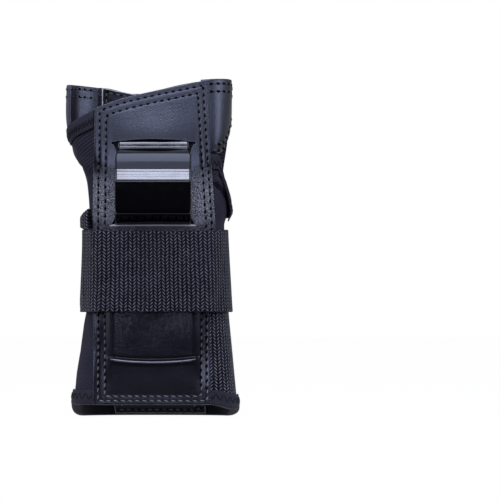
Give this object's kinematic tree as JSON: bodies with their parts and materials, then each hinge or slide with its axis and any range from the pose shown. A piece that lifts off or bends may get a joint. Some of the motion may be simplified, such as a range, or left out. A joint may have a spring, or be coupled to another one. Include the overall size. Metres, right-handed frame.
{
  "type": "wrist guard",
  "caption": "Sleeve-style wrist guard with a bowed plastic splint threaded through a slotted leather palm panel, a splint inside the back and a wrap-around elastic strap.",
  "frame": {"origin": "centre of the guard's bounding box, at the floor that its cuff stands on", "axes": "+Z from the cuff to the fingers, the palm side faces -Y, the thumb side is at +X"},
  "size_m": [0.0876, 0.0707, 0.1701],
  "materials": {
    "knit": "fine twill knit over thin padding",
    "leather": "smooth, slightly grained, semi-matte",
    "webbing": "woven elastic with a herringbone weave",
    "tape": "folded binding tape, stitched",
    "gloss_splint": "polished",
    "inner_splint": "plain, hidden in its pocket",
    "foam": "soft foam, hidden in the back pocket",
    "hook": "hook side of hook-and-loop tape",
    "loop": "loop side of hook-and-loop tape"
  },
  "bodies": {
    "guard": {"palm_base": "knit", "little_finger_side": "knit", "back_base": "knit", "cuff_gusset": "webbing", "thumb_side": "knit", "thumb_web": "leather", "little_finger_web": "leather", "palm_panel": "leather", "palm_splint": "gloss_splint", "back_lining": "leather", "back_pad": "foam", "back_splint": "inner_splint", "cuff_binding": "tape", "little_finger_binding": "tape", "thumb_binding": "tape", "strap_back_turn": "webbing", "strap_front": "webbing", "loop_patch": "loop"},
    "strap_side": {"strap_side": "webbing"},
    "strap_tail": {"strap_tail": "webbing", "hook_patch": "hook"}
  },
  "joints": [
    {"name": "strap_side_swing", "type": "hinge", "parent": "guard", "child": "strap_side", "pos_m": [-0.03485, -0.01683, 0.0735], "axis": [0, 0, 1], "range_deg": [0, 95]},
    {"name": "strap_tail_peel", "type": "hinge", "parent": "strap_side", "child": "strap_tail", "pos_m": [-0.02515, 0.02802, 0.0735], "axis": [0, 0, 1], "range_deg": [0, 110]}
  ]
}
